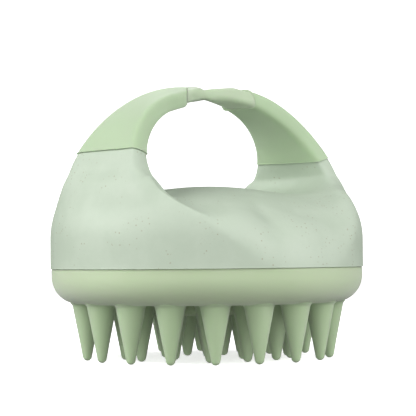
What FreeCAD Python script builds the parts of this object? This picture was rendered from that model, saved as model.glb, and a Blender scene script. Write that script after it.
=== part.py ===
"""Scalp massager brush: a domed hand body with a twisted finger loop over a bristle pad.

Units are millimetres, +Z is up, and the tips of the bristles stand on Z = 0.  The axis of
the round body is Z.  -Y is the front.  The body and its loop repeat after half a turn
about Z.
"""
import FreeCAD, Part
import math
import os

V = FreeCAD.Vector

# Round body
BODY_R = 42.0              # outside radius of the shell at its lower edge
SHELL_FOOT = 24.3          # height of the shell's lower edge
DOME_TOP = 46.1            # top of the dome under the finger loop
DOME_CURVE = 88.0          # radius of curvature of the dome
WALL_STRAIGHT = 32.0       # the wall is upright below this height
WALL_LEAN = 0.025          # how fast the wall leans inwards above it
SHOULDER = 3.0             # rounding between wall and dome
LIFT_POWER = 5.0           # how late the dome turns up towards a high rim
SINK_POWER = 3.5           # and down towards a low one

# Swirled rim of the body: it rises into the loop and sinks again, twice round the body
RIM_LOW = 31.0             # lowest place of the rim, on the right of the front
RIM_HIGH = 47.0            # highest place, under the feet of the loop
FALL_FROM = -23.0          # degrees round from the front, towards +X
FALL_TO = 38.0
FALL_SKEW = 0.6            # below 1 the rim sinks early
RISE_FROM = 45.0
RISE_TO = 96.0

# Edge of the strap that forms the loop: a cubic B-spline from the front left foot, over
# the top, to the back right foot.  The other edge is the same curve turned half round.
STRAP_EDGE = [
    (-35.0, -5.0, 36.0),
    (-35.8, -8.9, 45.8),
    (-31.4, -16.6, 56.0),
    (-17.3, -6.0, 69.6),
    (-4.1, -1.0, 71.9),
    (5.1, 5.4, 69.8),
    (14.1, 21.0, 65.6),
    (19.1, 29.2, 52.4),
    (12.3, 32.9, 42.4),
    (7.0, 33.5, 36.0),
]
STRAP_ROUND_TOP = 1.75     # rounding of the strap's edge at the top of the loop
STRAP_ROUND_FOOT = 2.6     # and at its feet
STRAP_THICKEN = 1.3        # how fast the rounding grows from the top to the feet
STRAP_FULLNESS = 1.12      # half thickness over edge rounding
STRAP_ARCH = 3.4           # how far the strap bows outwards at its feet
ARCH_HIGH = 56.0           # the bow starts at this height
ARCH_LOW = 44.0            # and is full at this one
STRAP_INSET = 0.5          # how far the edge curves lie outside the flat faces
STRAP_SQUARE = 2.6         # power of the section's rounded outline
STRAP_STATIONS = 25        # sections along the strap
SECTION_POINTS = 20        # points round each section

# Soft grips and top link
GRIP_FOOT = 53.1           # height of the joint line between shell and grips
GRIP_REACH = 28.0          # at this distance from the middle
GRIP_HEADING = -132.4      # degrees round from +X in which the left joint line rises
GRIP_TILT = 16.1           # and by how many degrees
GRIP_PROUD = 0.25          # how far the grips stand proud of the shell's arms
STRAP_HEADING = 42.0       # degrees round from +X in which the strap crosses the top
LINK_LEFT = 4.75           # distance of the link's left end from the middle
LINK_LEFT_HEADING = 180.0  # degrees round from +X in which that end faces
LINK_RIGHT = 8.4           # the same for its right end
LINK_RIGHT_HEADING = 66.4
LINK_SHY = 0.35            # how far the link lies below the grips' ends
TONGUE_REACH = 15.0        # half length over the link's hidden tongues
CORE_START = 16.0          # distance of the hard cores' ends from the middle of the link
CORE_SKIN = 1.0            # silicone thickness over the tongues and cores
GROOVE_DEPTH = 0.5         # flex groove across the middle of the link, above and below
GROOVE_R = 1.8             # radius of the groove's floor

# Bristle pad
PAD_R = 41.7
PAD_TOP = 24.0
PAD_LIP = 15.0             # height of the pad's lower face
PAD_CORNER = 7.0
PAD_WALL = 2.3
PAD_FLOOR = 2.6
HOOK_IN = 36.6             # inner radius of the pad's turned-in top edge
HOOK_T = 1.5
BOSS_R = 19.5              # raised middle of the underside
BOSS_LOW = 12.0
BOSS_ROUND = 1.5

# Bristles: name of the ring, how many, radius of the ring, degrees of the first one
RINGS = [
    ("bristles_outer_ring", 18, 32.75, 3.5),
    ("bristles_middle_ring", 14, 22.5, 1.5),
    ("bristles_inner_ring", 7, 11.5, 3.0),
    ("bristle_centre", 1, 0.0, 0.0),
]
BRISTLE_BASE_R = 3.9       # at the height of the pad's lower face
BRISTLE_TIP_R = 1.2
BRISTLE_ROOT = 16.4        # the cone is drawn up to here and trimmed by the pad

# Carrier plate inside the pad
CARRIER_GAP = 0.1          # clearance between carrier and pad
CARRIER_T = 2.0
CARRIER_RIM_T = 2.3
SKIRT_T = 1.8              # plug skirt that enters the shell's socket
SKIRT_TOP = 30.5
BEAD_H = 0.1               # the detent bead clears the socket, so that the joint runs free
BEAD_R = 0.6
BEAD_Z = 28.4
HUB_R = 8.0
RIB_COUNT = 6
RIB_T = 1.6
RIB_H = 3.0

# Inside of the shell
CAVITY_R = 39.6            # inner radius of the shell's wall
CAVITY_TOP = 43.6          # top of its round roof
CAVITY_CURVE = 69.0        # radius of curvature of the roof
CAVITY_TURN = 33.0         # radius at which the roof turns down
CAVITY_SIDE = 26.6         # the wall is upright below this height
SOCKET_R = 35.75           # bore that guides the carrier's skirt
SOCKET_GAP = 0.15          # running clearance of the skirt in it
SOCKET_T = 1.8
SOCKET_TOP = 33.0
STAY_COUNT = 12            # ribs between the socket and the outer wall
STAY_LOW = 25.3
STAY_HIGH = 29.0
STAY_T = 1.4

# How finely the free shapes are drawn
FINE = 60                  # points on each stretch of a meridian before they are evened out
MERIDIAN_POINTS = 28       # points kept on each meridian
ROUND_STEPS = 96           # meridians round the body
SMALL_STEP = 0.01          # step along the strap for its direction
POLE_R = 3.0               # the middle of the dome is flat within this radius
FAR = 200.0                # reaches past the whole part


def smooth(u):
    u = min(1.0, max(0.0, u))
    return u * u * (3.0 - 2.0 * u)


def rim_height(deg):
    """Height of the swirled rim at an angle round from the front, in degrees."""
    a = (deg - FALL_FROM) % 180.0 + FALL_FROM
    if a <= FALL_TO:
        u = (a - FALL_FROM) / (FALL_TO - FALL_FROM)
        return RIM_HIGH - (RIM_HIGH - RIM_LOW) * smooth(u ** FALL_SKEW)
    return RIM_LOW + (RIM_HIGH - RIM_LOW) * smooth((a - RISE_FROM) / (RISE_TO - RISE_FROM))


def wall_radius(z):
    return BODY_R - WALL_LEAN * max(0.0, z - WALL_STRAIGHT) ** 2


def cap_height(r):
    return DOME_TOP - (DOME_CURVE - math.sqrt(DOME_CURVE ** 2 - r * r))


def top_height(r, deg):
    """Height of the dome's upper face, drawn up or down to the rim."""
    high = rim_height(deg)
    edge = wall_radius(high)
    lift = high - cap_height(edge)
    power = LIFT_POWER if lift > 0.0 else SINK_POWER
    return cap_height(r) + lift * (r / edge) ** power


def meridian(deg):
    """Radius and height from the shell's foot, up the wall, over the shoulder, to the pole."""
    high = rim_height(deg)
    start = high - SHOULDER
    inner = wall_radius(high) - SHOULDER
    inner_z = top_height(inner, deg)
    pts = []
    for i in range(FINE):
        z = SHELL_FOOT + (start - SHELL_FOOT) * i / FINE
        pts.append((wall_radius(z), z))
    for i in range(FINE):
        q = 0.5 * math.pi * i / FINE
        r = inner + (wall_radius(start) - inner) * math.cos(q)
        z = start + (inner_z - start) * math.sin(q)
        pts.append((r, z))
    for i in range(FINE):
        r = inner + (POLE_R - inner) * i / FINE
        pts.append((r, top_height(r, deg)))
    pts.append((POLE_R, cap_height(POLE_R)))
    return evenly_spaced(pts, MERIDIAN_POINTS)


def evenly_spaced(pts, count):
    """The same open line with its points at equal distances."""
    run = [0.0]
    for p, q in zip(pts, pts[1:]):
        run.append(run[-1] + math.dist(p, q))
    out = [pts[0]]
    k = 0
    for i in range(1, count - 1):
        want = run[-1] * i / (count - 1)
        while run[k + 1] < want:
            k += 1
        u = (want - run[k]) / (run[k + 1] - run[k])
        out.append(tuple(m + (n - m) * u for m, n in zip(pts[k], pts[k + 1])))
    out.append(pts[-1])
    return out


def point_at(r, deg, z):
    a = math.radians(deg)
    return V(r * math.sin(a), -r * math.cos(a), z)


def closed_curve(pts):
    curve = Part.BSplineCurve()
    stops = [i / len(pts) for i in range(len(pts) + 1)]
    curve.interpolate(Points=pts, Parameters=stops, PeriodicFlag=True)
    return curve


def open_curve(pts):
    curve = Part.BSplineCurve()
    curve.interpolate(Points=pts, Parameters=[i / (len(pts) - 1) for i in range(len(pts))])
    return curve


def skinned_solid(outlines):
    """Solid through closed outlines of equally many points, the first and last of them flat."""
    rounds = [closed_curve(pts) for pts in outlines]
    poles = [curve.getPoles() for curve in rounds]
    longs = [open_curve(list(column)) for column in zip(*poles)]
    surface = Part.BSplineSurface()
    surface.buildFromPolesMultsKnots([curve.getPoles() for curve in longs],
                                     rounds[0].getMultiplicities(),
                                     longs[0].getMultiplicities(),
                                     rounds[0].getKnots(), longs[0].getKnots(),
                                     True, False, rounds[0].Degree, longs[0].Degree)
    skin = surface.toShape()
    ends = [Part.Face(Part.Wire([edge])) for edge in skin.Edges if edge.isClosed()]
    shell = Part.Shell([skin] + ends)
    shell.sewShape()
    solid = Part.Solid(Part.Shell(shell.Faces))
    if solid.Volume < 0.0:
        solid.reverse()
    return solid


def dome_body():
    """Solid body under the swirled outer face."""
    columns = []
    for i in range(ROUND_STEPS):
        deg = 360.0 * i / ROUND_STEPS
        columns.append([point_at(r, deg, z) for r, z in meridian(deg)])
    return skinned_solid([list(outline) for outline in zip(*columns)])


def strap_curve():
    spans = len(STRAP_EDGE) - 3
    curve = Part.BSplineCurve()
    curve.buildFromPolesMultsKnots([V(*p) for p in STRAP_EDGE],
                                   [4] + [1] * (spans - 1) + [4],
                                   [i / spans for i in range(spans + 1)], False, 3)
    return curve


def half_turn(v):
    return V(-v.x, -v.y, v.z)


def strap_frame(curve, t):
    """Centre, direction across, outward direction and half width of the strap at t."""
    back = curve.value(t)
    front = half_turn(curve.value(1.0 - t))
    centre = (back + front) * 0.5
    across = (back - front) * 0.5
    half = across.Length
    across.normalize()
    lo = max(0.0, t - SMALL_STEP)
    hi = min(1.0, t + SMALL_STEP)
    ahead = curve.value(hi) + half_turn(curve.value(1.0 - hi))
    behind = curve.value(lo) + half_turn(curve.value(1.0 - lo))
    along = ahead - behind
    out = along.cross(across)
    out.normalize()
    return centre, across, out, half


def strap_section(curve, t, skin):
    """Closed outline of the strap at t, drawn in by skin."""
    centre, across, out, half = strap_frame(curve, t)
    foot = abs(2.0 * t - 1.0)
    edge = STRAP_ROUND_TOP + (STRAP_ROUND_FOOT - STRAP_ROUND_TOP) * smooth(STRAP_THICKEN * foot)
    half_w = half + edge - STRAP_INSET - skin
    half_t = edge * STRAP_FULLNESS - skin
    arch = STRAP_ARCH * smooth((ARCH_HIGH - centre.z) / (ARCH_HIGH - ARCH_LOW))
    pts = []
    for i in range(SECTION_POINTS):
        q = 2.0 * math.pi * i / SECTION_POINTS - 0.5 * math.pi
        c = math.cos(q)
        s = math.sin(q)
        a = math.copysign(abs(c) ** (2.0 / STRAP_SQUARE), c)
        b = math.copysign(abs(s) ** (2.0 / STRAP_SQUARE), s)
        bow = arch * (1.0 - a * a)
        pts.append(centre + across * (a * half_w) + out * (b * half_t + bow))
    return pts


def strap(skin=0.0):
    """The whole loop as one solid, drawn in by skin all round."""
    curve = strap_curve()
    stations = [i / (STRAP_STATIONS - 1) for i in range(STRAP_STATIONS)]
    return skinned_solid([strap_section(curve, t, skin) for t in stations])


def block_along_strap(start, end):
    """Block across the whole part between two distances along the strap's heading."""
    block = Part.makeBox(end - start, 2.0 * FAR, 2.0 * FAR, V(start, -FAR, -FAR))
    block.rotate(V(0, 0, 0), V(0, 0, 1), STRAP_HEADING)
    return block


def half_space_at_joint(side, base):
    """Block on one side of the joint line of the left (-1) or right (+1) arm.  Its lower
    face starts at the joint when base is 0, and its upper face ends there when it is -FAR."""
    block = Part.makeBox(FAR, 2.0 * FAR, FAR, V(0.0, -FAR, GRIP_FOOT + base))
    block.rotate(V(GRIP_REACH, 0, GRIP_FOOT), V(0, 1, 0), -GRIP_TILT)
    turn = GRIP_HEADING if side < 0 else GRIP_HEADING + 180.0
    block.rotate(V(0, 0, 0), V(0, 0, 1), turn)
    return block


def far_side(side, start):
    """Everything further along the strap than start, on the left (-1) or right (+1)."""
    if side < 0:
        return block_along_strap(-FAR, -start)
    return block_along_strap(start, FAR)


def beyond_link(side):
    """Everything past the link's left (-1) or right (+1) end."""
    start = LINK_LEFT if side < 0 else LINK_RIGHT
    heading = LINK_LEFT_HEADING if side < 0 else LINK_RIGHT_HEADING
    block = Part.makeBox(FAR, 2.0 * FAR, 2.0 * FAR, V(start, -FAR, -FAR))
    block.rotate(V(0, 0, 0), V(0, 0, 1), heading)
    return block


def ring(inner, outer, low, high):
    wall = Part.makeCylinder(outer, high - low, V(0, 0, low))
    return wall.cut(Part.makeCylinder(inner, high - low, V(0, 0, low)))


def spoke(inner, outer, low, high, thick, deg):
    bar = Part.makeBox(outer - inner, thick, high - low, V(inner, -0.5 * thick, low))
    bar.rotate(V(0, 0, 0), V(0, 0, 1), deg)
    return bar


def turned(edges):
    """Solid of revolution about Z of a closed profile in the XZ plane."""
    return Part.Face(Part.Wire(edges)).revolve(V(0, 0, 0), V(0, 0, 1), 360.0)


def line(p, q):
    return Part.LineSegment(V(p[0], 0, p[1]), V(q[0], 0, q[1])).toShape()


def arc(p, m, q):
    return Part.Arc(V(p[0], 0, p[1]), V(m[0], 0, m[1]), V(q[0], 0, q[1])).toShape()


def shell_cavity():
    below = SHELL_FOOT - 1.0
    foot = (0.0, below)
    corner = (CAVITY_R, below)
    side = (CAVITY_R, CAVITY_SIDE)
    roof = []
    for r in (CAVITY_TURN, 0.5 * CAVITY_TURN, 0.0):
        drop = CAVITY_CURVE - math.sqrt(CAVITY_CURVE ** 2 - r * r)
        roof.append((r, CAVITY_TOP - drop))
    return turned([line(foot, corner), line(corner, side), line(side, roof[0]),
                   arc(roof[0], roof[1], roof[2]), line(roof[2], foot)])


def shell_socket():
    """Socket ring and the stays that join it to the wall."""
    socket = ring(SOCKET_R, SOCKET_R + SOCKET_T, SHELL_FOOT, SOCKET_TOP)
    for i in range(STAY_COUNT):
        socket = socket.fuse(spoke(SOCKET_R + 0.5 * SOCKET_T, 0.5 * (BODY_R + CAVITY_R),
                                   STAY_LOW, STAY_HIGH, STAY_T, 360.0 * i / STAY_COUNT))
    return socket


def shell():
    body = dome_body()
    arms = strap(GRIP_PROUD)
    cores = strap(CORE_SKIN)
    for side in (-1, 1):
        above = half_space_at_joint(side, 0.0)
        body = body.fuse(arms.common(half_space_at_joint(side, -FAR)))
        body = body.fuse(cores.common(above).common(far_side(side, CORE_START)))
    body = body.cut(shell_cavity())
    return body.fuse(shell_socket())


def grip(side):
    sleeve = strap().common(half_space_at_joint(side, 0.0)).common(beyond_link(side))
    inner = strap(CORE_SKIN)
    sleeve = sleeve.cut(inner.common(block_along_strap(-TONGUE_REACH, TONGUE_REACH)))
    return sleeve.cut(inner.common(far_side(side, CORE_START)))


def loop_link():
    link = strap(LINK_SHY).cut(beyond_link(-1)).cut(beyond_link(1))
    link = link.fuse(strap(CORE_SKIN).common(block_along_strap(-TONGUE_REACH, TONGUE_REACH)))
    middle = strap_frame(strap_curve(), 0.5)[0]
    half_t = STRAP_ROUND_TOP * STRAP_FULLNESS - LINK_SHY
    for up in (-1.0, 1.0):
        z = middle.z + up * (half_t - GROOVE_DEPTH + GROOVE_R)
        groove = Part.makeCylinder(GROOVE_R, 2.0 * FAR, V(0, -FAR, z), V(0, 1, 0))
        link = link.cut(groove)
    return link


def bristle_pad():
    corner = 1.0 - math.sqrt(0.5)
    hook_low = PAD_TOP - HOOK_T
    floor = PAD_LIP + PAD_FLOOR
    inside = PAD_R - PAD_WALL
    boss_in = (BOSS_R - BOSS_ROUND, BOSS_LOW)
    boss_mid = (BOSS_R - BOSS_ROUND * corner, BOSS_LOW + BOSS_ROUND * corner)
    boss_out = (BOSS_R, BOSS_LOW + BOSS_ROUND)
    bend_in = (PAD_R - PAD_CORNER, PAD_LIP)
    bend_mid = (PAD_R - PAD_CORNER * corner, PAD_LIP + PAD_CORNER * corner)
    bend_out = (PAD_R, PAD_LIP + PAD_CORNER)
    corners = [bend_out, (PAD_R, PAD_TOP), (HOOK_IN, PAD_TOP), (HOOK_IN, hook_low),
               (inside, hook_low), (inside, floor), (0.0, floor), (0.0, BOSS_LOW), boss_in]
    edges = [line(p, q) for p, q in zip(corners, corners[1:])]
    edges.append(arc(boss_in, boss_mid, boss_out))
    edges.append(line(boss_out, (BOSS_R, PAD_LIP)))
    edges.append(line((BOSS_R, PAD_LIP), bend_in))
    edges.append(arc(bend_in, bend_mid, bend_out))
    return turned(edges)


def bristle():
    """One cone with a round tip on Z = 0, on the Z axis."""
    slope = math.atan2(BRISTLE_BASE_R - BRISTLE_TIP_R, PAD_LIP - BRISTLE_TIP_R)
    root_r = BRISTLE_BASE_R + (BRISTLE_ROOT - PAD_LIP) * math.tan(slope)
    touch = (BRISTLE_TIP_R * math.cos(slope), BRISTLE_TIP_R * (1.0 - math.sin(slope)))
    half = 0.5 * (0.5 * math.pi - slope)
    mid = (BRISTLE_TIP_R * math.sin(half), BRISTLE_TIP_R * (1.0 - math.cos(half)))
    tip = (0.0, 0.0)
    root = (root_r, BRISTLE_ROOT)
    middle = (0.0, BRISTLE_ROOT)
    return turned([arc(tip, mid, touch), line(touch, root), line(root, middle),
                   line(middle, tip)])


def bristle_ring(count, radius, first, pad):
    cone = bristle()
    cones = []
    for i in range(count):
        copy = cone.copy()
        copy.translate(point_at(radius, first + 360.0 * i / count, 0.0))
        cones.append(copy.cut(pad).Solids[0])
    return Part.makeCompound(cones)


def carrier_plate():
    low = PAD_LIP + PAD_FLOOR + CARRIER_GAP
    top = low + CARRIER_T
    outer = PAD_R - PAD_WALL - CARRIER_GAP
    rim_top = PAD_TOP - HOOK_T - CARRIER_GAP
    skirt_r = SOCKET_R - SOCKET_GAP
    plate = Part.makeCylinder(outer, CARRIER_T, V(0, 0, low))
    plate = plate.fuse(ring(outer - CARRIER_RIM_T, outer, low, rim_top))
    plate = plate.fuse(ring(skirt_r - SKIRT_T, skirt_r, low, SKIRT_TOP))
    plate = plate.fuse(ring(HUB_R - RIB_T, HUB_R, low, top + RIB_H))
    bead = Part.makeTorus(skirt_r - BEAD_R + BEAD_H, BEAD_R, V(0, 0, BEAD_Z))
    plate = plate.fuse(bead)
    for i in range(RIB_COUNT):
        plate = plate.fuse(spoke(HUB_R - 0.5 * RIB_T, skirt_r - 0.5 * SKIRT_T, low,
                                 top + RIB_H, RIB_T, 360.0 * i / RIB_COUNT))
    return plate


def main():
    os.makedirs("parts", exist_ok=True)
    pad = bristle_pad()
    nodes = {
        "shell": shell(),
        "grip_left": grip(-1),
        "grip_right": grip(1),
        "loop_link": loop_link(),
        "bristle_pad": pad,
        "carrier_plate": carrier_plate(),
    }
    for name, count, radius, first in RINGS:
        nodes[name] = bristle_ring(count, radius, first, pad)
    for name, shape in nodes.items():
        shape.exportStep("parts/" + name + ".step")


if __name__ == "__main__":
    main()
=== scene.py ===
"""Looks of the scalp massager brush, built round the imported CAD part."""
import math

import bmesh
import bpy
import numpy as np
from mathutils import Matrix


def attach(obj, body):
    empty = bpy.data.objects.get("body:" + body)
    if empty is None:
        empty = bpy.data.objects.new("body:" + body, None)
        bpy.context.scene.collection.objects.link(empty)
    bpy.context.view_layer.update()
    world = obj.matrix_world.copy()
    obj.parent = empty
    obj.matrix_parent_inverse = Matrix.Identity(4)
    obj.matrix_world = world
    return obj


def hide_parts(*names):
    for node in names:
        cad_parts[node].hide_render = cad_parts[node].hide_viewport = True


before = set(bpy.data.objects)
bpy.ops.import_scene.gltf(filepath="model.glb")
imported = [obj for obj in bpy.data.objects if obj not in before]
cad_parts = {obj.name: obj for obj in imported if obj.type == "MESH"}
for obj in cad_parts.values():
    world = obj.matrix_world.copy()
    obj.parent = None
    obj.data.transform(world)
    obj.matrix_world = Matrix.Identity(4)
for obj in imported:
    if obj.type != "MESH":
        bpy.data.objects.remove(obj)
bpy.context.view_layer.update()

import openvdb
from mathutils import Matrix, Vector

MM = 0.001                     # all shapes below are worked out in millimetres

# Body, as in the CAD part
BODY_R = 42.0
SHELL_FOOT = 24.3
DOME_TOP = 46.1
DOME_CURVE = 88.0
WALL_STRAIGHT = 32.0
WALL_LEAN = 0.025
WALL_LEAN_SIDE = 0.0035        # the right-hand wall leans in a little more than the left
LIFT_POWER = 5.0
SINK_POWER = 3.5
OVERRUN = 1.3                  # the top's surface carries on outwards to this many wall radii
CAP_END = 60.0                 # and the middle's to this radius
STEEPEST = 3.0                 # the slope of the top is taken as no more than this
RIM_LOW = 31.0
RIM_HIGH = 47.0
FALL_FROM = -23.0
FALL_TO = 38.0
FALL_SKEW = 0.6
RISE_FROM = 45.0
RISE_TO = 96.0

# Crease beside the falling rim, in degrees round: where it starts and fades, and over how much
CREASE_POWER = 6.0             # the dome turns up late beside the crease
CREASE_START = 150.0
CREASE_START_OVER = 7.0
CREASE_FADE = -5.0
CREASE_FADE_OVER = 20.0
CRISP_TO = 80.0                # the crease at the back is soft
CRISP_FADE = 30.0

# Rounding of the rim: where it changes, over how many degrees, and by how much
SHOULDER_CRISP = 0.9
SHOULDER_STEPS = (
    (-8.0, 34.0, 5.1),
    (55.0, 30.0, -3.5),
)
BACK_SHOULDER = 2.5            # least rounding at the back

# Loop, as in the CAD part
STRAP_EDGE = np.array([
    (-35.0, -5.0, 36.0),
    (-35.8, -8.9, 45.8),
    (-31.4, -16.6, 56.0),
    (-17.3, -6.0, 69.6),
    (-4.1, -1.0, 71.9),
    (5.1, 5.4, 69.8),
    (14.1, 21.0, 65.6),
    (19.1, 29.2, 52.4),
    (12.3, 32.9, 42.4),
    (7.0, 33.5, 36.0),
])
STRAP_ROUND_TOP = 1.73
STRAP_ROUND_FOOT = 2.6
STRAP_THICKEN = 1.3
STRAP_INSET_LEFT = 1.2
STRAP_INSET_RIGHT = 0.7
STRAP_FULLNESS = 1.12
STRAP_ARCH = 3.4
ARCH_HIGH = 56.0
ARCH_LOW = 44.0
STRAP_SQUARE = 3.0
GRIP_FOOT = 53.1
GRIP_REACH = 28.0
GRIP_HEADING = -132.4
GRIP_TILT = 16.1
GRIP_PROUD = 0.25
STRAP_HEADING = 42.0
LINK_LEFT = 4.75
LINK_RIGHT = 8.4
LINK_RIGHT_HEADING = 66.4
LINK_CROWN = (                 # place along X, width and height of swellings of its top
    (-2.2, 1.8, 0.32),
    (5.0, 3.0, 0.22),
    (11.0, 1.8, -0.32),
)

# Waist of the link: a notch above and a ridge of thinner stuff below
WAIST_AT = -0.27
WAIST_TOP = 72.0
WAIST_FOOT = 69.8
NOTCH_LEFT = 0.65              # slopes of the notch's sides
NOTCH_RIGHT = 0.39
NOTCH_WIDE = 0.11              # slope and height of the long flat run-out on the right
NOTCH_WIDE_TOP = 72.3
FOOT_LEFT = 0.29
FOOT_RIGHT = 0.315
UNDERSIDE = 70.2               # the strap's lower face lies below this height near the link
SLEEVE_END_ROUND = 0.9         # rounding of the left sleeve's end, underneath
SLEEVE_SWELL = 0.4             # and how far it swells there

SLEEVE_TOP_ROUND = 0.15        # rounding of the same end on top
SWELL_FROM = -10.5             # the swelling grows from here along X, over this length
SWELL_OVER = 4.0
SWELL_END_OVER = 2.0
UNDER_FADE = 1.5               # height over which underside turns into upper side
NOTCH_ROUND = 0.2
WAIST_ROUND = 0.3
RIGHT_SLEEVE_ROUND = 0.3       # rounding of the right sleeve's end
LINK_LEFT_ROUND = 0.12         # and of the two ends of the link
LINK_RIGHT_ROUND = 0.15

# Joint line between shell and sleeves
SEAM_ROUND = 0.18              # rounding of the sleeves' lower ends
ARM_IN_SLEEVE = 0.2            # how far the shell's arms reach up inside the sleeves
ARM_END_ROUND = 0.1

# Fillet between loop and body
FILLET_OUT = 4.6               # radius on the outside of the body
FILLET_LEAN = 0.9              # added on the right of the body and taken off on the left
FILLET_IN = 8.0                # added between the arms
FILLET_IN_FROM = 35.5          # within this distance of the axis
FILLET_IN_OVER = 9.0
FILLET_CREASE = 1.0            # radius beside the crease, which lies between these degrees
FILLET_CREASE_FROM = -21.0
FILLET_CREASE_FROM_OVER = 10.0
FILLET_CREASE_TO = 50.0
FILLET_CREASE_TO_OVER = 20.0
FILLET_SEAM = 1.0              # radius at the joint line
FILLET_SEAM_GROW = 0.75        # and how fast it may grow below the line

# Soft spots of the pressed shell: degrees round, height, width in both, how far proud
SOFT_SPOTS = (
    (14.0, 37.0, 7.0, 4.0, 0.75),
    (27.0, 36.0, 5.0, 5.0, -0.60),
    (45.0, 34.0, 9.0, 3.0, 0.60),
    (-39.0, 39.0, 9.0, 3.0, -0.50),
    (-32.0, 30.5, 7.0, 3.5, 0.30),
)
SPOTS_BACK = 0.4               # share of them that shows at the back
SPOTS_FROM = 18.0              # they fade in from this distance from the axis
SPOTS_OVER = 10.0

# Inside of the shell, as in the CAD part
CAVITY_R = 39.6
CAVITY_SIDE = 26.6
CAVITY_TURN = 33.0
CAVITY_TOP = 43.6
CAVITY_CURVE = 69.0
SOCKET_R = 35.75
SOCKET_T = 1.8
SOCKET_TOP = 33.0
STAY_COUNT = 12
STAY_LOW = 25.3
STAY_HIGH = 29.0
STAY_T = 1.4
STAY_BITE = 1.0                # how far the stays run on into the wall
INNER_ROUND = 0.6              # rounding where the hollow meets the outside
SHELL_FOOT_ROUND = 0.1

# Pad, as in the CAD part
PAD_R = 41.7
PAD_TOP = 24.25
PAD_LIP = 15.0
PAD_CORNER = 7.0
PAD_CORNER_LEAD = 1.0          # short straight stretch above the rounded corner
PAD_WALL = 2.3
PAD_FLOOR = 2.6
PAD_EDGE_ROUND = 0.12
HOOK_IN = 36.6
HOOK_T = 1.5
PAD_MID_R = 28.0               # a ring of points on the flat underside
BOSS_R = 19.5
BOSS_MID_R = 9.0               # and one under the boss
BOSS_LOW = 12.0
BOSS_ROUND = 1.5
BOSS_FILLET = 0.6
BOSS_LEAD = 0.2                # flat stretch between the fillet and the pad's underside

# Bristles: name of the ring, how many, radius of the ring, degrees round of the first
RINGS = (
    ("bristles_outer_ring", 18, 32.75, 3.5),
    ("bristles_middle_ring", 14, 22.5, 1.5),
    ("bristles_inner_ring", 7, 11.5, 3.0),
    ("bristle_centre", 1, 0.0, 0.0),
)
BRISTLE_BASE_R = 3.9
BRISTLE_TIP_R = 1.2
BRISTLE_END = 16.8             # height of the flat end hidden in the pad
BRISTLE_END_IN = 0.3
FLARE_LOW = 0.8                # the root flares from here below the pad
FLARE_HIGH = 0.2               # to here inside it
FLARE_OUT = 0.45
FLARE_POWER = 2.5

# Colours: light and dark patches
SHELL_COLOURS = ((0.455, 0.530, 0.430), (0.425, 0.500, 0.400))
CARRIER_COLOURS = ((0.52, 0.62, 0.46), (0.49, 0.59, 0.43))
GRIP_COLOURS = ((0.365, 0.485, 0.300), (0.352, 0.471, 0.287))
# the link is the grips' silicone painted lighter: painted light falling on the top of the loop
LINK_PAINTED_LIGHT_COLOURS = ((0.410, 0.505, 0.345), (0.395, 0.490, 0.330))
PAD_COLOURS = ((0.435, 0.535, 0.340), (0.420, 0.520, 0.325))
BRISTLE_COLOURS = ((0.375, 0.490, 0.295), (0.360, 0.475, 0.280))
SPECK_COLOUR = (0.31, 0.29, 0.20)
FLOOR_COLOURS = ((0.93, 0.93, 0.93), (0.95, 0.95, 0.95))

# Floor and light
BACKDROP_R = 3000.0
FLOOR_LOW = -0.02              # the floor lies this far from the tips
BACKDROP_LOW = -0.1
FLOOR_GLOW = 0.75
SKY = (                        # axis, where that part of the sky starts and is full, strength
    ("Y", -0.3, -1.0, 1.15),
    ("X", 0.0, 1.0, 0.14),
    ("X", 0.0, -1.0, 0.03),
    ("Z", -0.2, 0.9, 0.29),
    ("Z", 0.0, -0.9, 0.07),
)
LIGHTS = (                     # name, place and width in metres, power
    ("key_left", (-0.55, -0.30, 0.50), 0.5, 3.2),
    ("key_side", (-0.60, -0.05, 0.25), 0.4, 1.85),
    ("fill_right", (0.60, -0.20, 0.35), 0.4, 3.1),
)
LIGHT_AIM = (0.0, 0.0, 0.03)

# Camera: place in metres, lens and sensor in millimetres, turns in degrees
VIEW_DISTANCE = 0.450
VIEW_HEIGHT = 0.0274
LENS = 144.2
SENSOR_WIDE = 36.0
PITCH = 1.65                   # looks up by this
YAW = -0.058
ROLL = -0.53

# Grid
GRID_LOW = (-44.0, -44.0, 21.0)
GRID_HIGH = (44.0, 44.0, 76.0)
VOXEL = 0.4
COARSE = 1.5
NEAR = 2.4                     # reach of the fine distance to the strap
FAR = 18.0                     # and of the coarse one
LEAST_POINTS = 100             # smaller islands of a mesh are dropped


def smooth(u):
    u = np.clip(u, 0.0, 1.0)
    return u * u * (3.0 - 2.0 * u)


# ---------------------------------------------------------------- the swirled body

def rim_height(deg):
    a = (deg - FALL_FROM) % 180.0 + FALL_FROM
    fall = np.clip((a - FALL_FROM) / (FALL_TO - FALL_FROM), 0.0, 1.0)
    sink = RIM_HIGH - (RIM_HIGH - RIM_LOW) * smooth(fall ** FALL_SKEW)
    rise = RIM_LOW + (RIM_HIGH - RIM_LOW) * smooth((a - RISE_FROM) / (RISE_TO - RISE_FROM))
    return np.where(a <= FALL_TO, sink, rise)


def shoulder(deg):
    """Rounding of the rim: crisp where the crease leaves the loop, soft further round."""
    a = (deg - FALL_FROM) % 180.0 + FALL_FROM
    front = SHOULDER_CRISP
    for start, over, size in SHOULDER_STEPS:
        front = front + size * smooth((a - start) / over)
    return np.where(np.abs(deg) > 90.0, np.maximum(front, BACK_SHOULDER), front)


def wall_radius(z, deg):
    lean = WALL_LEAN + WALL_LEAN_SIDE * np.sin(np.radians(deg))
    return BODY_R - lean * np.maximum(0.0, z - WALL_STRAIGHT) ** 2


def cap_height(r):
    return DOME_TOP - (DOME_CURVE - np.sqrt(DOME_CURVE ** 2 - np.minimum(r, CAP_END) ** 2))


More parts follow.
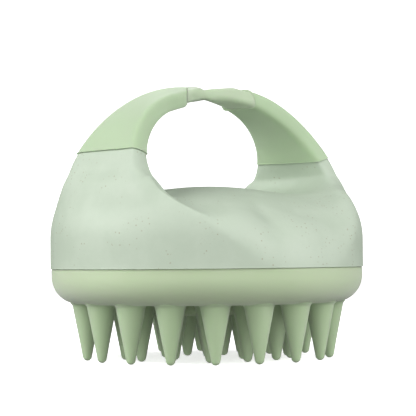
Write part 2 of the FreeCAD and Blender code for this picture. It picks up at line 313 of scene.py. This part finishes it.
def top_height(r, deg):
    high = rim_height(deg)
    edge = wall_radius(high, deg)
    lift = high - cap_height(edge)
    a = (deg - FALL_FROM) % 180.0 + FALL_FROM
    crisp = (1.0 - smooth((a - CREASE_FADE) / CREASE_FADE_OVER)
             + smooth((a - CREASE_START) / CREASE_START_OVER))
    crisp = crisp * smooth((CRISP_TO - np.abs(deg)) / CRISP_FADE)
    power = np.where(lift > 0.0, LIFT_POWER + CREASE_POWER * crisp, SINK_POWER)
    return cap_height(r) + lift * np.minimum(r / edge, OVERRUN) ** power


def round_out(a, b, k):
    """Both insides, their outer edge rounded to radius k."""
    return (np.minimum(np.maximum(a, b), -k)
            + np.hypot(np.maximum(a + k, 0.0), np.maximum(b + k, 0.0)))


def round_in(a, b, k):
    """Either inside, the corner between them filled to radius k."""
    return (np.maximum(np.minimum(a, b), k)
            - np.hypot(np.maximum(k - a, 0.0), np.maximum(k - b, 0.0)))


def dome_field(x, y, z, step):
    """Signed distance to the body, near its surface."""
    r = np.hypot(x[:, :, 0], y[:, :, 0])
    deg = np.degrees(np.arctan2(x[:, :, 0], -y[:, :, 0]))
    high = top_height(r, deg)
    gx, gy = np.gradient(high, step)
    slope = np.sqrt(1.0 + np.minimum(gx ** 2 + gy ** 2, STEEPEST ** 2))
    top = (z - high[:, :, None]) / slope[:, :, None]
    wall = r[:, :, None] - wall_radius(z, deg[:, :, None])
    lean = 2.0 * WALL_LEAN * np.maximum(0.0, z - WALL_STRAIGHT)
    wall = wall / np.sqrt(1.0 + lean ** 2)
    body = round_out(wall, top, shoulder(deg)[:, :, None])
    fold = ((deg + 90.0) % 180.0 - 90.0)[:, :, None]
    strong = np.where(np.abs(deg) > 90.0, SPOTS_BACK, 1.0)[:, :, None]
    strong = strong * smooth((r[:, :, None] - SPOTS_FROM) / SPOTS_OVER)
    for at, height, wide, tall, proud in SOFT_SPOTS:
        spot = np.exp(-((fold - at) / wide) ** 2) * np.exp(-((z - height) / tall) ** 2)
        body = body - proud * strong * spot
    return body


def cavity_field(x, y, z):
    """Signed distance to the hollow inside the shell."""
    r = np.hypot(x, y)
    roof = np.hypot(r, z - CAVITY_TOP + CAVITY_CURVE) - CAVITY_CURVE
    turn_z = CAVITY_TOP - CAVITY_CURVE + math.sqrt(CAVITY_CURVE ** 2 - CAVITY_TURN ** 2)
    run_r = CAVITY_TURN - CAVITY_R
    run_z = turn_z - CAVITY_SIDE
    slant = ((r - CAVITY_R) * run_z - (z - CAVITY_SIDE) * run_r) / math.hypot(run_r, run_z)
    return np.maximum(np.maximum(r - CAVITY_R, roof), slant)


def socket_field(x, y, z):
    """Signed distance to the socket ring and the stays that join it to the wall."""
    r = np.hypot(x, y)
    ring = np.maximum(np.abs(r - SOCKET_R - 0.5 * SOCKET_T) - 0.5 * SOCKET_T, z - SOCKET_TOP)
    sector = 2.0 * np.pi / STAY_COUNT
    turn = (np.arctan2(y, x) + 0.5 * sector) % sector - 0.5 * sector
    stay = np.maximum(np.abs(r * np.sin(turn)) - 0.5 * STAY_T,
                      np.abs(z - 0.5 * (STAY_LOW + STAY_HIGH)) - 0.5 * (STAY_HIGH - STAY_LOW))
    stay = np.maximum(stay, np.maximum(SOCKET_R + 0.5 * SOCKET_T - r, r - CAVITY_R - STAY_BITE))
    return np.minimum(ring, stay)


# ---------------------------------------------------------------- the strap of the loop

def strap_edge(t):
    """Point of the clamped cubic B-spline at t."""
    poles = STRAP_EDGE
    spans = len(poles) - 3
    knots = np.concatenate([[0.0] * 3, np.linspace(0.0, 1.0, spans + 1), [1.0] * 3])
    k = min(int(t * spans), spans - 1) + 3
    d = [poles[j + k - 3].copy() for j in range(4)]
    for level in range(1, 4):
        for j in range(3, level - 1, -1):
            lo = knots[j + k - 3]
            hi = knots[j + 1 + k - level]
            u = (t - lo) / (hi - lo)
            d[j] = (1.0 - u) * d[j - 1] + u * d[j]
    return d[3]


def half_turn(v):
    return v * np.array([-1.0, -1.0, 1.0])


def strap_frame(t):
    back = strap_edge(t)
    front = half_turn(strap_edge(1.0 - t))
    centre = 0.5 * (back + front)
    across = 0.5 * (back - front)
    half = np.linalg.norm(across)
    lo = max(0.0, t - 0.01)
    hi = min(1.0, t + 0.01)
    along = (strap_edge(hi) + half_turn(strap_edge(1.0 - hi))
             - strap_edge(lo) - half_turn(strap_edge(1.0 - lo)))
    across = across / half
    out = np.cross(along, across)
    return centre, across, out / np.linalg.norm(out), half


def strap_section(t, count):
    """Closed outline of the strap at t: flat faces between two rounded edges."""
    centre, across, out, half = strap_frame(t)
    foot = abs(2.0 * t - 1.0)
    edge = STRAP_ROUND_TOP + (STRAP_ROUND_FOOT - STRAP_ROUND_TOP) * smooth(STRAP_THICKEN * foot)
    leftness = smooth(2.0 - 4.0 * t)
    flat = half - STRAP_INSET_RIGHT - (STRAP_INSET_LEFT - STRAP_INSET_RIGHT) * leftness
    arch = STRAP_ARCH * smooth((ARCH_HIGH - centre[2]) / (ARCH_HIGH - ARCH_LOW))
    q = np.linspace(-0.5 * np.pi, 0.5 * np.pi, count // 4 + 1)
    cap_a = flat + edge * np.abs(np.cos(q)) ** (2.0 / STRAP_SQUARE)
    thick = edge * STRAP_FULLNESS
    cap_b = thick * np.sign(q) * np.abs(np.sin(q)) ** (2.0 / STRAP_SQUARE)
    run_a = np.linspace(flat, -flat, count // 4 + 1)[1:-1]
    run_b = np.full(len(run_a), thick)
    a = np.concatenate([cap_a, run_a, -cap_a, -run_a])
    b = np.concatenate([cap_b, run_b, -cap_b, -run_b])
    bow = arch * (1.0 - np.minimum(1.0, np.abs(a) / (half + edge)) ** 2)
    return centre + np.outer(a, across) + np.outer(b + bow, out)


def strap_mesh(stations=121, around=64):
    """Points and triangles of the closed strap."""
    rings = [strap_section(i / (stations - 1), around) for i in range(stations)]
    count = len(rings[0])
    pts = np.concatenate(rings + [rings[0].mean(0)[None], rings[-1].mean(0)[None]])
    tris = []
    for i in range(stations - 1):
        for j in range(count):
            a = i * count + j
            b = i * count + (j + 1) % count
            tris += [(a, b, b + count), (a, b + count, a + count)]
    last = (stations - 1) * count
    for j in range(count):
        n = (j + 1) % count
        tris += [(n, j, stations * count), (last + j, last + n, stations * count + 1)]
    return pts, tris


# ---------------------------------------------------------------- fields to meshes

class Grid:
    """A regular grid in millimetres round a box."""

    def __init__(self, low, high, step):
        self.low = np.array(low)
        self.step = step
        self.shape = tuple(int(n) for n in np.ceil((np.array(high) - self.low) / step) + 1)
        axes = [self.low[i] + step * np.arange(self.shape[i]) for i in range(3)]
        self.x, self.y, self.z = np.meshgrid(*axes, indexing="ij")

    def from_mesh(self, pts, tris, reach):
        """Signed distance to a closed mesh, exact up to reach."""
        transform = openvdb.createLinearTransform(voxelSize=self.step)
        grid = openvdb.FloatGrid.createLevelSetFromPolygons(
            np.ascontiguousarray(pts - self.low, dtype=np.float32),
            triangles=np.array(tris, dtype=np.uint32), transform=transform,
            halfWidth=reach / self.step)
        out = np.zeros(self.shape, dtype=np.float32)
        grid.copyToArray(out)
        return out.astype(float)

    def distance(self, pts, tris, near, far):
        """Signed distance, exact up to near and from a coarser grid up to far."""
        coarse = Grid(self.low, self.low + self.step * np.array(self.shape), COARSE)
        wide = coarse.from_mesh(pts, tris, far)
        for axis in range(3):
            at = self.step * np.arange(self.shape[axis]) / COARSE
            low = np.minimum(at.astype(int), coarse.shape[axis] - 2)
            part = (at - low).reshape([-1 if i == axis else 1 for i in range(3)])
            wide = (np.take(wide, low, axis) * (1.0 - part)
                    + np.take(wide, low + 1, axis) * part)
        fine = self.from_mesh(pts, tris, near + self.step)
        return np.where(np.abs(fine) < near, fine, wide)

    def surface(self, field):
        """Points and polygons of the field's zero surface."""
        limit = 3.0 * self.step
        grid = openvdb.FloatGrid(limit)
        grid.copyFromArray(np.ascontiguousarray(np.clip(field, -limit, limit), dtype=np.float32))
        grid.transform = openvdb.createLinearTransform(voxelSize=self.step)
        grid.gridClass = openvdb.GridClass.LEVEL_SET
        pts, quads = grid.convertToQuads(0.0)
        return pts + self.low, quads


def mesh_from(name, pts, faces):
    mesh = bpy.data.meshes.new(name)
    mesh.from_pydata((np.asarray(pts) * MM).tolist(), [], np.asarray(faces).tolist())
    return mesh


def link_object(name, data):
    obj = bpy.data.objects.new(name, data)
    bpy.context.scene.collection.objects.link(obj)
    return obj


def finish_mesh(obj, bm, sharp):
    """Writes bm back, smooth shaded apart from edges sharper than sharp degrees."""
    bmesh.ops.recalc_face_normals(bm, faces=bm.faces)
    limit = math.radians(sharp)
    for face in bm.faces:
        face.smooth = True
    for edge in bm.edges:
        edge.smooth = not (len(edge.link_faces) == 2 and edge.calc_face_angle(0.0) > limit)
    bm.to_mesh(obj.data)
    bm.free()


def relax(bm):
    """Smooths away the steps of the grid."""
    for _ in range(2):
        bmesh.ops.smooth_vert(bm, verts=bm.verts, factor=0.5, use_axis_x=True,
                              use_axis_y=True, use_axis_z=True)


def trim(bm, co, no, rounding):
    """Cuts away what lies on the side of no, closes the cut and rounds its edge.

    co is in millimetres, no is a unit normal, and rounding is the edge's radius.
    """
    co = Vector(co) * MM
    no = Vector(no)
    steps = 5
    for i in range(steps, 0, -1):
        depth = rounding * (1.0 - math.cos(0.5 * math.pi * i / steps))
        bmesh.ops.bisect_plane(bm, geom=bm.verts[:] + bm.edges[:] + bm.faces[:],
                               dist=1e-7, plane_co=co - no * depth * MM, plane_no=no)
    cut = bmesh.ops.bisect_plane(bm, geom=bm.verts[:] + bm.edges[:] + bm.faces[:], dist=1e-7,
                                 plane_co=co, plane_no=no, clear_outer=True)
    bm.normal_update()
    moves = []
    for v in bm.verts:
        depth = -(v.co - co).dot(no) / MM
        if depth < rounding:
            side = v.normal - no * v.normal.dot(no)
            if side.length > 1e-6:
                inset = rounding - math.sqrt(max(0.0, rounding ** 2 - (rounding - depth) ** 2))
                moves.append((v, side.normalized() * inset * MM))
    for v, move in moves:
        v.co -= move
    edges = [e for e in cut["geom_cut"] if isinstance(e, bmesh.types.BMEdge) and e.is_boundary]
    bmesh.ops.triangle_fill(bm, use_beauty=True, edges=edges)


# ---------------------------------------------------------------- simple turned shapes

def lathe(profile, count=192):
    """Points and quads of a closed profile turned about Z."""
    pts = []
    for i in range(count):
        a = 2.0 * math.pi * i / count
        pts += [(r * math.cos(a), r * math.sin(a), z) for r, z in profile]
    n = len(profile)
    faces = []
    for i in range(count):
        k = (i + 1) % count
        for j in range(n - 1):
            faces.append((i * n + j, k * n + j, k * n + j + 1, i * n + j + 1))
    return np.array(pts), faces


def arc_points(centre, radius, start, end, count):
    out = []
    for i in range(count + 1):
        a = math.radians(start + (end - start) * i / count)
        out.append((centre[0] + radius * math.cos(a), centre[1] + radius * math.sin(a)))
    return out


# ---------------------------------------------------------------- materials

def new_material(name):
    mat = bpy.data.materials.new(name)
    mat.use_nodes = True
    nodes = mat.node_tree.nodes
    return mat, nodes, mat.node_tree.links, nodes["Principled BSDF"]


def mix_colour(nodes, links, factor, first, second):
    mix = nodes.new("ShaderNodeMix")
    mix.data_type = "RGBA"
    links.new(factor, mix.inputs["Factor"])
    for socket, value in ((mix.inputs["A"], first), (mix.inputs["B"], second)):
        if isinstance(value, tuple):
            socket.default_value = value + (1.0,)
        else:
            links.new(value, socket)
    return mix.outputs["Result"]


def noise(nodes, links, coords, scale, detail=2.0, rough=0.5):
    node = nodes.new("ShaderNodeTexNoise")
    node.inputs["Scale"].default_value = scale
    node.inputs["Detail"].default_value = detail
    node.inputs["Roughness"].default_value = rough
    links.new(coords, node.inputs["Vector"])
    return node.outputs["Fac"]


def ramp(nodes, links, factor, low, high):
    node = nodes.new("ShaderNodeMapRange")
    node.inputs["From Min"].default_value = low
    node.inputs["From Max"].default_value = high
    node.interpolation_type = "SMOOTHSTEP"
    links.new(factor, node.inputs["Value"])
    return node.outputs["Result"]


def joined(nodes, links, operation, first, second):
    """Output of a Math node on two others."""
    node = nodes.new("ShaderNodeMath")
    node.operation = operation
    links.new(first, node.inputs[0])
    links.new(second, node.inputs[1])
    return node.outputs[0]


def add_grain(nodes, links, coords, shader, strength, scale, detail):
    """Fine bumps over the whole surface."""
    bump = nodes.new("ShaderNodeBump")
    bump.inputs["Strength"].default_value = strength
    bump.inputs["Distance"].default_value = 0.0002
    links.new(noise(nodes, links, coords, scale, detail), bump.inputs["Height"])
    links.new(bump.outputs["Normal"], shader.inputs["Normal"])


def speck_factor(nodes, links, coords):
    """1 on small dark specks that come in patches."""
    cells = nodes.new("ShaderNodeTexVoronoi")
    cells.inputs["Scale"].default_value = 950.0
    cells.inputs["Randomness"].default_value = 1.0
    links.new(coords, cells.inputs["Vector"])
    near = nodes.new("ShaderNodeMapRange")
    near.inputs["From Min"].default_value = 0.10
    near.inputs["From Max"].default_value = 0.23
    near.inputs["To Min"].default_value = 1.0
    near.inputs["To Max"].default_value = 0.0
    links.new(cells.outputs["Distance"], near.inputs["Value"])
    split = nodes.new("ShaderNodeSeparateColor")
    links.new(cells.outputs["Color"], split.inputs["Color"])
    some = nodes.new("ShaderNodeMath")
    some.operation = "GREATER_THAN"
    some.inputs[1].default_value = 0.35
    links.new(split.outputs["Red"], some.inputs[0])
    specks = joined(nodes, links, "MULTIPLY", near.outputs["Result"], some.outputs[0])
    patches = ramp(nodes, links, noise(nodes, links, coords, 130.0, 1.0), 0.45, 0.62)
    return joined(nodes, links, "MULTIPLY", specks, patches)


def silicone(name, colour, dark):
    mat, nodes, links, shader = new_material(name)
    coords = nodes.new("ShaderNodeTexCoord").outputs["Object"]
    cloud = noise(nodes, links, coords, 60.0, 2.0)
    base = mix_colour(nodes, links, ramp(nodes, links, cloud, 0.3, 0.7), dark, colour)
    links.new(base, shader.inputs["Base Color"])
    shader.inputs["Roughness"].default_value = 0.62
    shader.inputs["IOR"].default_value = 1.41
    shader.inputs["Specular IOR Level"].default_value = 0.5
    shader.inputs["Sheen Weight"].default_value = 0.4
    shader.inputs["Sheen Roughness"].default_value = 0.6
    shader.inputs["Subsurface Weight"].default_value = 0.25
    shader.inputs["Subsurface Radius"].default_value = (0.6, 1.0, 0.5)
    shader.inputs["Subsurface Scale"].default_value = 0.002
    add_grain(nodes, links, coords, shader, 0.06, 2600.0, 2.0)
    return mat


def fibre_plastic(name, colour, dark):
    mat, nodes, links, shader = new_material(name)
    coords = nodes.new("ShaderNodeTexCoord").outputs["Object"]
    cloud = noise(nodes, links, coords, 90.0, 4.0, 0.6)
    base = mix_colour(nodes, links, ramp(nodes, links, cloud, 0.35, 0.65), dark, colour)
    base = mix_colour(nodes, links, speck_factor(nodes, links, coords), base, SPECK_COLOUR)
    links.new(base, shader.inputs["Base Color"])
    shader.inputs["Roughness"].default_value = 0.55
    shader.inputs["Specular IOR Level"].default_value = 0.35
    add_grain(nodes, links, coords, shader, 0.12, 1300.0, 3.0)
    return mat


def dress(obj, body, node, mat):
    obj.data.materials.clear()
    obj.data.materials.append(mat)
    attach(obj, body)
    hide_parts(node)


# ---------------------------------------------------------------- shell, grips and link

def seam(side):
    """A point of the joint line's plane and the plane's normal."""
    turn = math.radians(GRIP_HEADING) + (0.0 if side < 0 else math.pi)
    tilt = math.radians(GRIP_TILT)
    normal = Vector((-math.sin(tilt) * math.cos(turn), -math.sin(tilt) * math.sin(turn),
                     math.cos(tilt)))
    return Vector((GRIP_REACH * math.cos(turn), GRIP_REACH * math.sin(turn), GRIP_FOOT)), normal


def level_direction(degrees):
    return Vector((math.cos(math.radians(degrees)), math.sin(math.radians(degrees)), 0.0))


def above_seam(grid):
    """Height above the joint line's plane of the nearer arm."""
    heights = []
    for side in (-1, 1):
        place, normal = seam(side)
        heights.append((grid.x - place.x) * normal.x + (grid.y - place.y) * normal.y
                       + (grid.z - place.z) * normal.z)
    run = level_direction(STRAP_HEADING)
    return np.where(grid.x * run.x + grid.y * run.y < 0.0, heights[0], heights[1])


def blend_radius(grid, seam_height):
    """Fillet between loop and body: wide inside the arms, tight outside and at the crease."""
    r = np.hypot(grid.x, grid.y)
    deg = np.degrees(np.arctan2(grid.x, -grid.y))
    a = (deg + 90.0) % 180.0 - 90.0
    inner = smooth((FILLET_IN_FROM - r) / FILLET_IN_OVER)
    beside = (smooth((a - FILLET_CREASE_FROM) / FILLET_CREASE_FROM_OVER)
              * smooth((FILLET_CREASE_TO - a) / FILLET_CREASE_TO_OVER))
    beside = beside * smooth((CRISP_TO - np.abs(deg)) / CRISP_FADE)
    outer = FILLET_OUT + FILLET_LEAN * grid.x / BODY_R
    wide = (outer + FILLET_IN * inner) * (1.0 - beside) + FILLET_CREASE * beside
    return np.minimum(wide, FILLET_SEAM + FILLET_SEAM_GROW * np.maximum(0.0, -seam_height))


def shell_field(grid, strap):
    """Signed distance to the hollow shell with its two arms."""
    seam_height = above_seam(grid)
    arms = round_out(strap + GRIP_PROUD, seam_height - ARM_IN_SLEEVE, ARM_END_ROUND)
    dome = dome_field(grid.x, grid.y, grid.z, grid.step)
    field = round_in(dome, arms, blend_radius(grid, seam_height))
    field = round_out(field, -cavity_field(grid.x, grid.y, grid.z), INNER_ROUND)
    return np.minimum(field, socket_field(grid.x, grid.y, grid.z))


def underside(grid):
    """1 on the strap's lower face near the link, 0 on its upper one."""
    return smooth((UNDERSIDE - grid.z) / UNDER_FADE + 0.5)


def left_sleeve_field(grid, strap):
    """Strap up to the left end of the link, swollen and rounded below."""
    under = underside(grid)
    near_link = smooth((grid.x - SWELL_FROM) / SWELL_OVER) * smooth(-grid.x / SWELL_END_OVER)
    return round_out(strap - SLEEVE_SWELL * under * near_link, grid.x + LINK_LEFT,
                     SLEEVE_TOP_ROUND + (SLEEVE_END_ROUND - SLEEVE_TOP_ROUND) * under)


def link_field(grid, strap):
    """Strap with the waist's notch and ridge and the swellings of the link."""
    off = grid.x - WAIST_AT
    notch = np.where(off < 0.0, WAIST_TOP - NOTCH_LEFT * off,
                     np.minimum(WAIST_TOP + NOTCH_RIGHT * off, NOTCH_WIDE_TOP + NOTCH_WIDE * off))
    thin = WAIST_FOOT + np.where(off < 0.0, FOOT_LEFT * off, -FOOT_RIGHT * off)
    crown = sum(tall * np.exp(-((grid.x - at) / wide) ** 2) for at, wide, tall in LINK_CROWN)
    field = round_out(strap - crown * (1.0 - underside(grid)), grid.z - notch, NOTCH_ROUND)
    return round_out(field, thin - grid.z, WAIST_ROUND)


def drop_bubbles(bm):
    """Deletes the closed bubbles of a few points that a grid leaves in thin corners."""
    left = set(bm.verts)
    crumbs = []
    while left:
        island = [left.pop()]
        for v in island:
            for edge in v.link_edges:
                other = edge.other_vert(v)
                if other in left:
                    left.remove(other)
                    island.append(other)
        if len(island) < LEAST_POINTS:
            crumbs += island
    bmesh.ops.delete(bm, geom=crumbs, context="VERTS")


def surface_bmesh(grid, field):
    pts, quads = grid.surface(field)
    mesh = mesh_from("surface", pts, quads)
    bm = bmesh.new()
    bm.from_mesh(mesh)
    bpy.data.meshes.remove(mesh)
    drop_bubbles(bm)
    relax(bm)
    return bm


def finished_object(name, bm, sharp=35.0):
    """Object of what bm holds."""
    obj = link_object(name, bpy.data.meshes.new(name))
    finish_mesh(obj, bm, sharp)
    return obj


def build_left_sleeve(grid, strap, mat):
    bm = surface_bmesh(grid, left_sleeve_field(grid, strap))
    place, normal = seam(-1)
    trim(bm, place, -normal, SEAM_ROUND)
    obj = finished_object("grip_left_skin", bm)
    dress(obj, "handle", "grip_left", mat)


def build_right_sleeve(grid, strap, mat):
    bm = surface_bmesh(grid, strap)
    bmesh.ops.bisect_plane(bm, geom=bm.verts[:] + bm.edges[:] + bm.faces[:], dist=1e-7,
                           plane_co=Vector((0, 0, 0)), plane_no=-level_direction(STRAP_HEADING),
                           clear_outer=True)
    right_end = level_direction(LINK_RIGHT_HEADING)
    trim(bm, right_end * LINK_RIGHT, -right_end, RIGHT_SLEEVE_ROUND)
    place, normal = seam(1)
    trim(bm, place, -normal, SEAM_ROUND)
    obj = finished_object("grip_right_skin", bm)
    dress(obj, "handle", "grip_right", mat)


def build_link(grid, strap, mat):
    bm = surface_bmesh(grid, link_field(grid, strap))
    trim(bm, Vector((-LINK_LEFT, 0, 0)), Vector((-1, 0, 0)), LINK_LEFT_ROUND)
    right_end = level_direction(LINK_RIGHT_HEADING)
    trim(bm, right_end * LINK_RIGHT, right_end, LINK_RIGHT_ROUND)
    obj = finished_object("loop_link_skin", bm)
    dress(obj, "handle", "loop_link", mat)


def build_shell(grid, strap, mat):
    bm = surface_bmesh(grid, shell_field(grid, strap))
    trim(bm, Vector((0, 0, SHELL_FOOT)), Vector((0, 0, -1)), SHELL_FOOT_ROUND)
    obj = finished_object("shell_skin", bm)
    dress(obj, "handle", "shell", mat)


def build_handle():
    grid = Grid(GRID_LOW, GRID_HIGH, VOXEL)
    strap = grid.distance(*strap_mesh(), near=NEAR, far=FAR)
    grip_mat = silicone("grip_silicone", *GRIP_COLOURS)
    build_left_sleeve(grid, strap, grip_mat)
    build_right_sleeve(grid, strap, grip_mat)
    # the link's material is a lighter copy of the grips' silicone, with painted light from above
    build_link(grid, strap, silicone("link_silicone_painted_light", *LINK_PAINTED_LIGHT_COLOURS))
    build_shell(grid, strap, fibre_plastic("fibre_plastic", *SHELL_COLOURS))


# ---------------------------------------------------------------- pad, bristles, carrier

def build_welded(name, pts, faces, sharp):
    """Object whose doubled points on the axis of turning are made one."""
    mesh = mesh_from(name, pts, faces)
    bm = bmesh.new()
    bm.from_mesh(mesh)
    bpy.data.meshes.remove(mesh)
    bmesh.ops.remove_doubles(bm, verts=bm.verts, dist=1e-6)
    return finished_object(name, bm, sharp)


def build_pad():
    inside = PAD_R - PAD_WALL
    floor_z = PAD_LIP + PAD_FLOOR
    profile = [(0.0, floor_z), (inside, floor_z), (inside, PAD_TOP - HOOK_T),
               (HOOK_IN, PAD_TOP - HOOK_T), (HOOK_IN, PAD_TOP)]
    profile += arc_points((PAD_R - PAD_EDGE_ROUND, PAD_TOP - PAD_EDGE_ROUND), PAD_EDGE_ROUND,
                          90, 0, 4)
    profile += [(PAD_R, PAD_LIP + PAD_CORNER + PAD_CORNER_LEAD)]
    profile += arc_points((PAD_R - PAD_CORNER, PAD_LIP + PAD_CORNER), PAD_CORNER, 0, -90, 24)
    profile += [(PAD_MID_R, PAD_LIP), (BOSS_R + BOSS_FILLET + BOSS_LEAD, PAD_LIP)]
    profile += arc_points((BOSS_R + BOSS_FILLET, PAD_LIP - BOSS_FILLET), BOSS_FILLET, 90, 180, 6)
    profile += arc_points((BOSS_R - BOSS_ROUND, BOSS_LOW + BOSS_ROUND), BOSS_ROUND, 0, -90, 10)
    profile += [(BOSS_MID_R, BOSS_LOW), (0.0, BOSS_LOW)]
    pad = build_welded("pad_skin", *lathe(profile), sharp=40.0)
    dress(pad, "brush_head", "bristle_pad", silicone("pad_silicone", *PAD_COLOURS))


def bristle_profile(base_z):
    """Cone with a round tip that flares a little where it leaves the pad at base_z."""
    slope = math.atan2(BRISTLE_BASE_R - BRISTLE_TIP_R, PAD_LIP - BRISTLE_TIP_R)
    profile = arc_points((0.0, BRISTLE_TIP_R), BRISTLE_TIP_R, -90, -math.degrees(slope), 8)
    low_r, low_z = profile[-1]
    grow = math.tan(slope)
    flare_z = base_z - FLARE_LOW
    for i in range(1, 9):
        z = low_z + (flare_z - low_z) * i / 8
        profile.append((low_r + (z - low_z) * grow, z))
    for i in range(1, 7):
        z = flare_z + (FLARE_LOW + FLARE_HIGH) * i / 6
        flare = FLARE_OUT * (i / 6) ** FLARE_POWER
        profile.append((low_r + (z - low_z) * grow + flare, z))
    profile.append((profile[-1][0] - BRISTLE_END_IN, BRISTLE_END))
    profile.append((0.0, BRISTLE_END))
    return profile


def build_bristles():
    mat = silicone("bristle_silicone", *BRISTLE_COLOURS)
    for name, count, radius, first in RINGS:
        base_z = BOSS_LOW if radius < BOSS_R - BRISTLE_BASE_R else PAD_LIP
        one, one_faces = lathe(bristle_profile(base_z), 40)
        pts = []
        faces = []
        for i in range(count):
            a = math.radians(first + 360.0 * i / count)
            start = i * len(one)
            pts.append(one + np.array([radius * math.sin(a), -radius * math.cos(a), 0.0]))
            faces += [tuple(start + v for v in f) for f in one_faces]
        obj = build_welded(name + "_skin", np.concatenate(pts), faces, sharp=50.0)
        dress(obj, "brush_head", name, mat)


def colour_carrier():
    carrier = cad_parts["carrier_plate"]
    carrier.data.materials.clear()
    carrier.data.materials.append(fibre_plastic("carrier_plastic", *CARRIER_COLOURS))


# ---------------------------------------------------------------- floor, light and camera

def floor_material():
    mat, nodes, links, shader = new_material("floor_white")
    coords = nodes.new("ShaderNodeTexCoord").outputs["Object"]
    base = mix_colour(nodes, links, noise(nodes, links, coords, 4.0), *FLOOR_COLOURS)
    links.new(base, shader.inputs["Base Color"])
    links.new(base, shader.inputs["Emission Color"])
    shader.inputs["Emission Strength"].default_value = FLOOR_GLOW
    shader.inputs["Roughness"].default_value = 0.9
    return mat


def staged(name, pts, faces, mat):
    """A floor or backdrop that only the camera sees."""
    obj = link_object(name, mesh_from(name, pts, faces))
    obj.data.materials.append(mat)
    obj.visible_diffuse = False
    obj.visible_glossy = False
    obj.visible_transmission = False
    obj.visible_shadow = False


def build_stage():
    pale = floor_material()
    disc = [(BACKDROP_R * math.cos(a), BACKDROP_R * math.sin(a), FLOOR_LOW)
            for a in np.linspace(0.0, 2.0 * math.pi, 65)[:-1]]
    staged("floor", disc, [tuple(range(64))], pale)
    profile = arc_points((0.0, BACKDROP_LOW), BACKDROP_R, 0, 89, 24)
    staged("backdrop", *lathe(profile, 64), pale)


def build_sky():
    world = bpy.data.worlds.new("studio")
    bpy.context.scene.world = world
    world.use_nodes = True
    nodes = world.node_tree.nodes
    links = world.node_tree.links
    split = nodes.new("ShaderNodeSeparateXYZ")
    links.new(nodes.new("ShaderNodeTexCoord").outputs["Generated"], split.inputs["Vector"])
    total = None
    for axis, start, full_at, strength in SKY:
        part = nodes.new("ShaderNodeMapRange")
        part.interpolation_type = "SMOOTHSTEP"
        part.inputs["From Min"].default_value = min(start, full_at)
        part.inputs["From Max"].default_value = max(start, full_at)
        part.inputs["To Min"].default_value = strength if full_at < start else 0.0
        part.inputs["To Max"].default_value = 0.0 if full_at < start else strength
        links.new(split.outputs[axis], part.inputs["Value"])
        if total is None:
            total = part.outputs["Result"]
        else:
            total = joined(nodes, links, "ADD", total, part.outputs["Result"])
    nodes["Background"].inputs["Color"].default_value = (1.0, 1.0, 1.0, 1.0)
    links.new(total, nodes["Background"].inputs["Strength"])


def build_lights():
    for name, place, size, power in LIGHTS:
        data = bpy.data.lights.new(name, "AREA")
        data.shape = "DISK"
        data.size = size
        data.energy = power
        light = link_object(name, data)
        light.location = place
        aim = Vector(LIGHT_AIM) - Vector(place)
        light.rotation_euler = aim.to_track_quat("-Z", "Y").to_euler()


def build_camera():
    data = bpy.data.cameras.new("camera")
    camera = link_object("camera", data)
    data.sensor_width = SENSOR_WIDE
    data.lens = LENS
    turn = (Matrix.Rotation(math.radians(YAW), 4, "Z")
            @ Matrix.Rotation(math.radians(90.0 + PITCH), 4, "X")
            @ Matrix.Rotation(math.radians(ROLL), 4, "Z"))
    camera.matrix_world = Matrix.Translation((0.0, -VIEW_DISTANCE, VIEW_HEIGHT)) @ turn
    bpy.context.scene.camera = camera
    bpy.context.scene.view_settings.view_transform = "Standard"


build_handle()
build_pad()
build_bristles()
colour_carrier()
build_stage()
build_sky()
build_lights()
build_camera()
